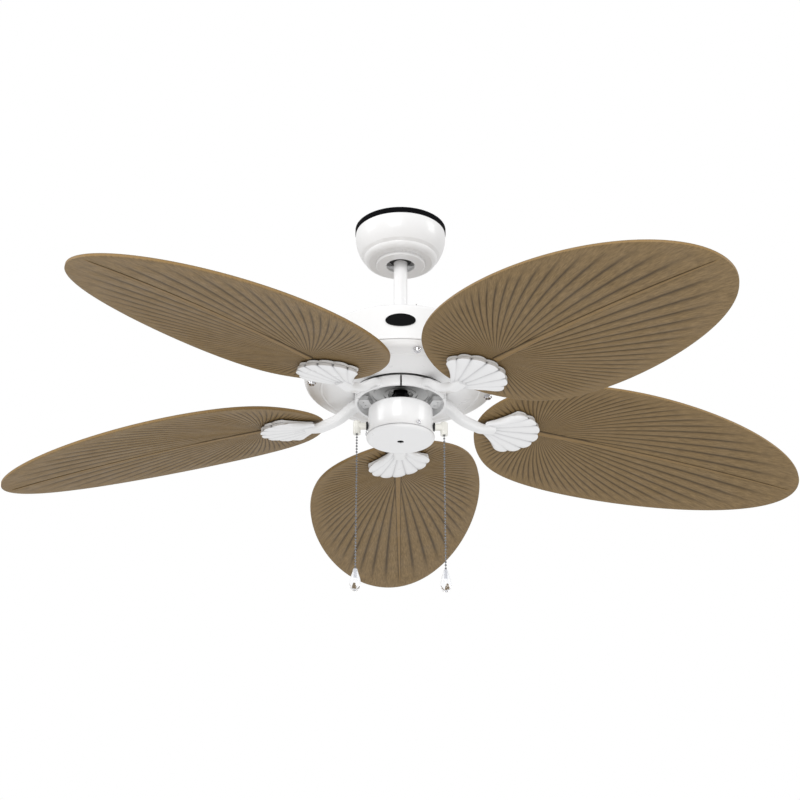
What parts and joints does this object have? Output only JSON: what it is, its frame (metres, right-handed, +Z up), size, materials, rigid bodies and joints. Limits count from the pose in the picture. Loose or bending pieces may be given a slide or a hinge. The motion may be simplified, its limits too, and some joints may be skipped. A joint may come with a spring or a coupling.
{
  "type": "ceiling fan",
  "caption": "White ceiling fan with palm-leaf shaped blades on scalloped metal arms, hung on a ball by a short downrod, with two pull chains and clear pendants.",
  "frame": {"origin": "centre of the ceiling plane, on the fan's axis", "axes": "+Z up, +X to the right in the picture, +Y away from the camera. At rest the fan hangs straight down, with blade 1 pointing along +Y."},
  "size_m": [1.2617, 1.2074, 0.5979],
  "materials": {
    "white_enamel": "gloss",
    "palm_leaf": "satin",
    "black_rubber": "matte",
    "black_plastic": "matte",
    "black_badge": "gloss",
    "bright_steel": "satin",
    "chrome_steel": "polished",
    "dark_steel": "satin",
    "cast_aluminium": "satin",
    "copper_wire": "satin",
    "cream_plastic": "gloss",
    "clear_pendant": "polished"
  },
  "bodies": {
    "ceiling_mount": {"ceiling_gasket": "black_rubber", "hanger_bracket": "bright_steel", "terminal_block": "black_plastic", "canopy": "white_enamel", "canopy_screws": "bright_steel", "canopy_cover_ring": "white_enamel"},
    "swivel_pin": {"ball_cross_pin": "bright_steel"},
    "motor_unit": {"hanger_ball": "black_plastic", "downrod": "white_enamel", "motor_yoke": "white_enamel", "clevis_pin": "bright_steel", "clevis_clip": "bright_steel", "yoke_set_screws": "bright_steel", "motor_shaft": "dark_steel", "shaft_lock_nut": "dark_steel", "switch_plate_nut": "dark_steel", "upper_housing": "white_enamel", "housing_screws": "bright_steel", "badge_plate": "black_badge", "lower_cover": "white_enamel", "lower_cover_screws": "chrome_steel", "stator_core": "bright_steel", "stator_windings": "copper_wire", "switch_housing": "white_enamel", "switch_cap": "white_enamel", "cap_screws": "chrome_steel", "capacitor": "black_plastic", "pull_switch_right": "black_plastic", "pull_switch_left": "black_plastic", "chain_elbow_right": "cream_plastic", "chain_elbow_left": "cream_plastic", "switch_nuts": "dark_steel"},
    "rotor": {"rotor_lower_shell": "cast_aluminium", "rotor_upper_shell": "cast_aluminium", "rotor_cage": "bright_steel", "rotor_bolts": "bright_steel", "upper_bearing": "bright_steel", "lower_bearing": "bright_steel", "arm_screws": "white_enamel", "blade_washers": "black_plastic", "blade_screws": "chrome_steel", "blade_arm_1": "white_enamel", "blade_arm_2": "white_enamel", "blade_arm_3": "white_enamel", "blade_arm_4": "white_enamel", "blade_arm_5": "white_enamel", "palm_blade_1": "palm_leaf", "palm_blade_2": "palm_leaf", "palm_blade_3": "palm_leaf", "palm_blade_4": "palm_leaf", "palm_blade_5": "palm_leaf"},
    "right_pull": {"pull_chain_right": "chrome_steel", "chain_pendant_right": "clear_pendant", "pendant_core_right": "chrome_steel"},
    "left_pull": {"pull_chain_left": "chrome_steel", "chain_pendant_left": "clear_pendant", "pendant_core_left": "chrome_steel"}
  },
  "joints": [
    {"name": "swing_sideways", "type": "hinge", "parent": "ceiling_mount", "child": "swivel_pin", "pos_m": [0, 0, -0.037], "axis": [0, 1, 0], "range_deg": [-6, 6]},
    {"name": "swing_lengthways", "type": "hinge", "parent": "swivel_pin", "child": "motor_unit", "pos_m": [0, 0, -0.037], "axis": [1, 0, 0], "range_deg": [-6, 6]},
    {"name": "rotor_spin", "type": "hinge", "parent": "motor_unit", "child": "rotor", "pos_m": [0, 0, -0.244], "axis": [0, 0, 1], "continuous": true},
    {"name": "right_chain_pull", "type": "slide", "parent": "motor_unit", "child": "right_pull", "axis": [0, 0, -1], "range_m": [0, 0.012], "stiffness_N_per_m": 200},
    {"name": "left_chain_pull", "type": "slide", "parent": "motor_unit", "child": "left_pull", "axis": [0, 0, -1], "range_m": [0, 0.012], "stiffness_N_per_m": 200}
  ]
}
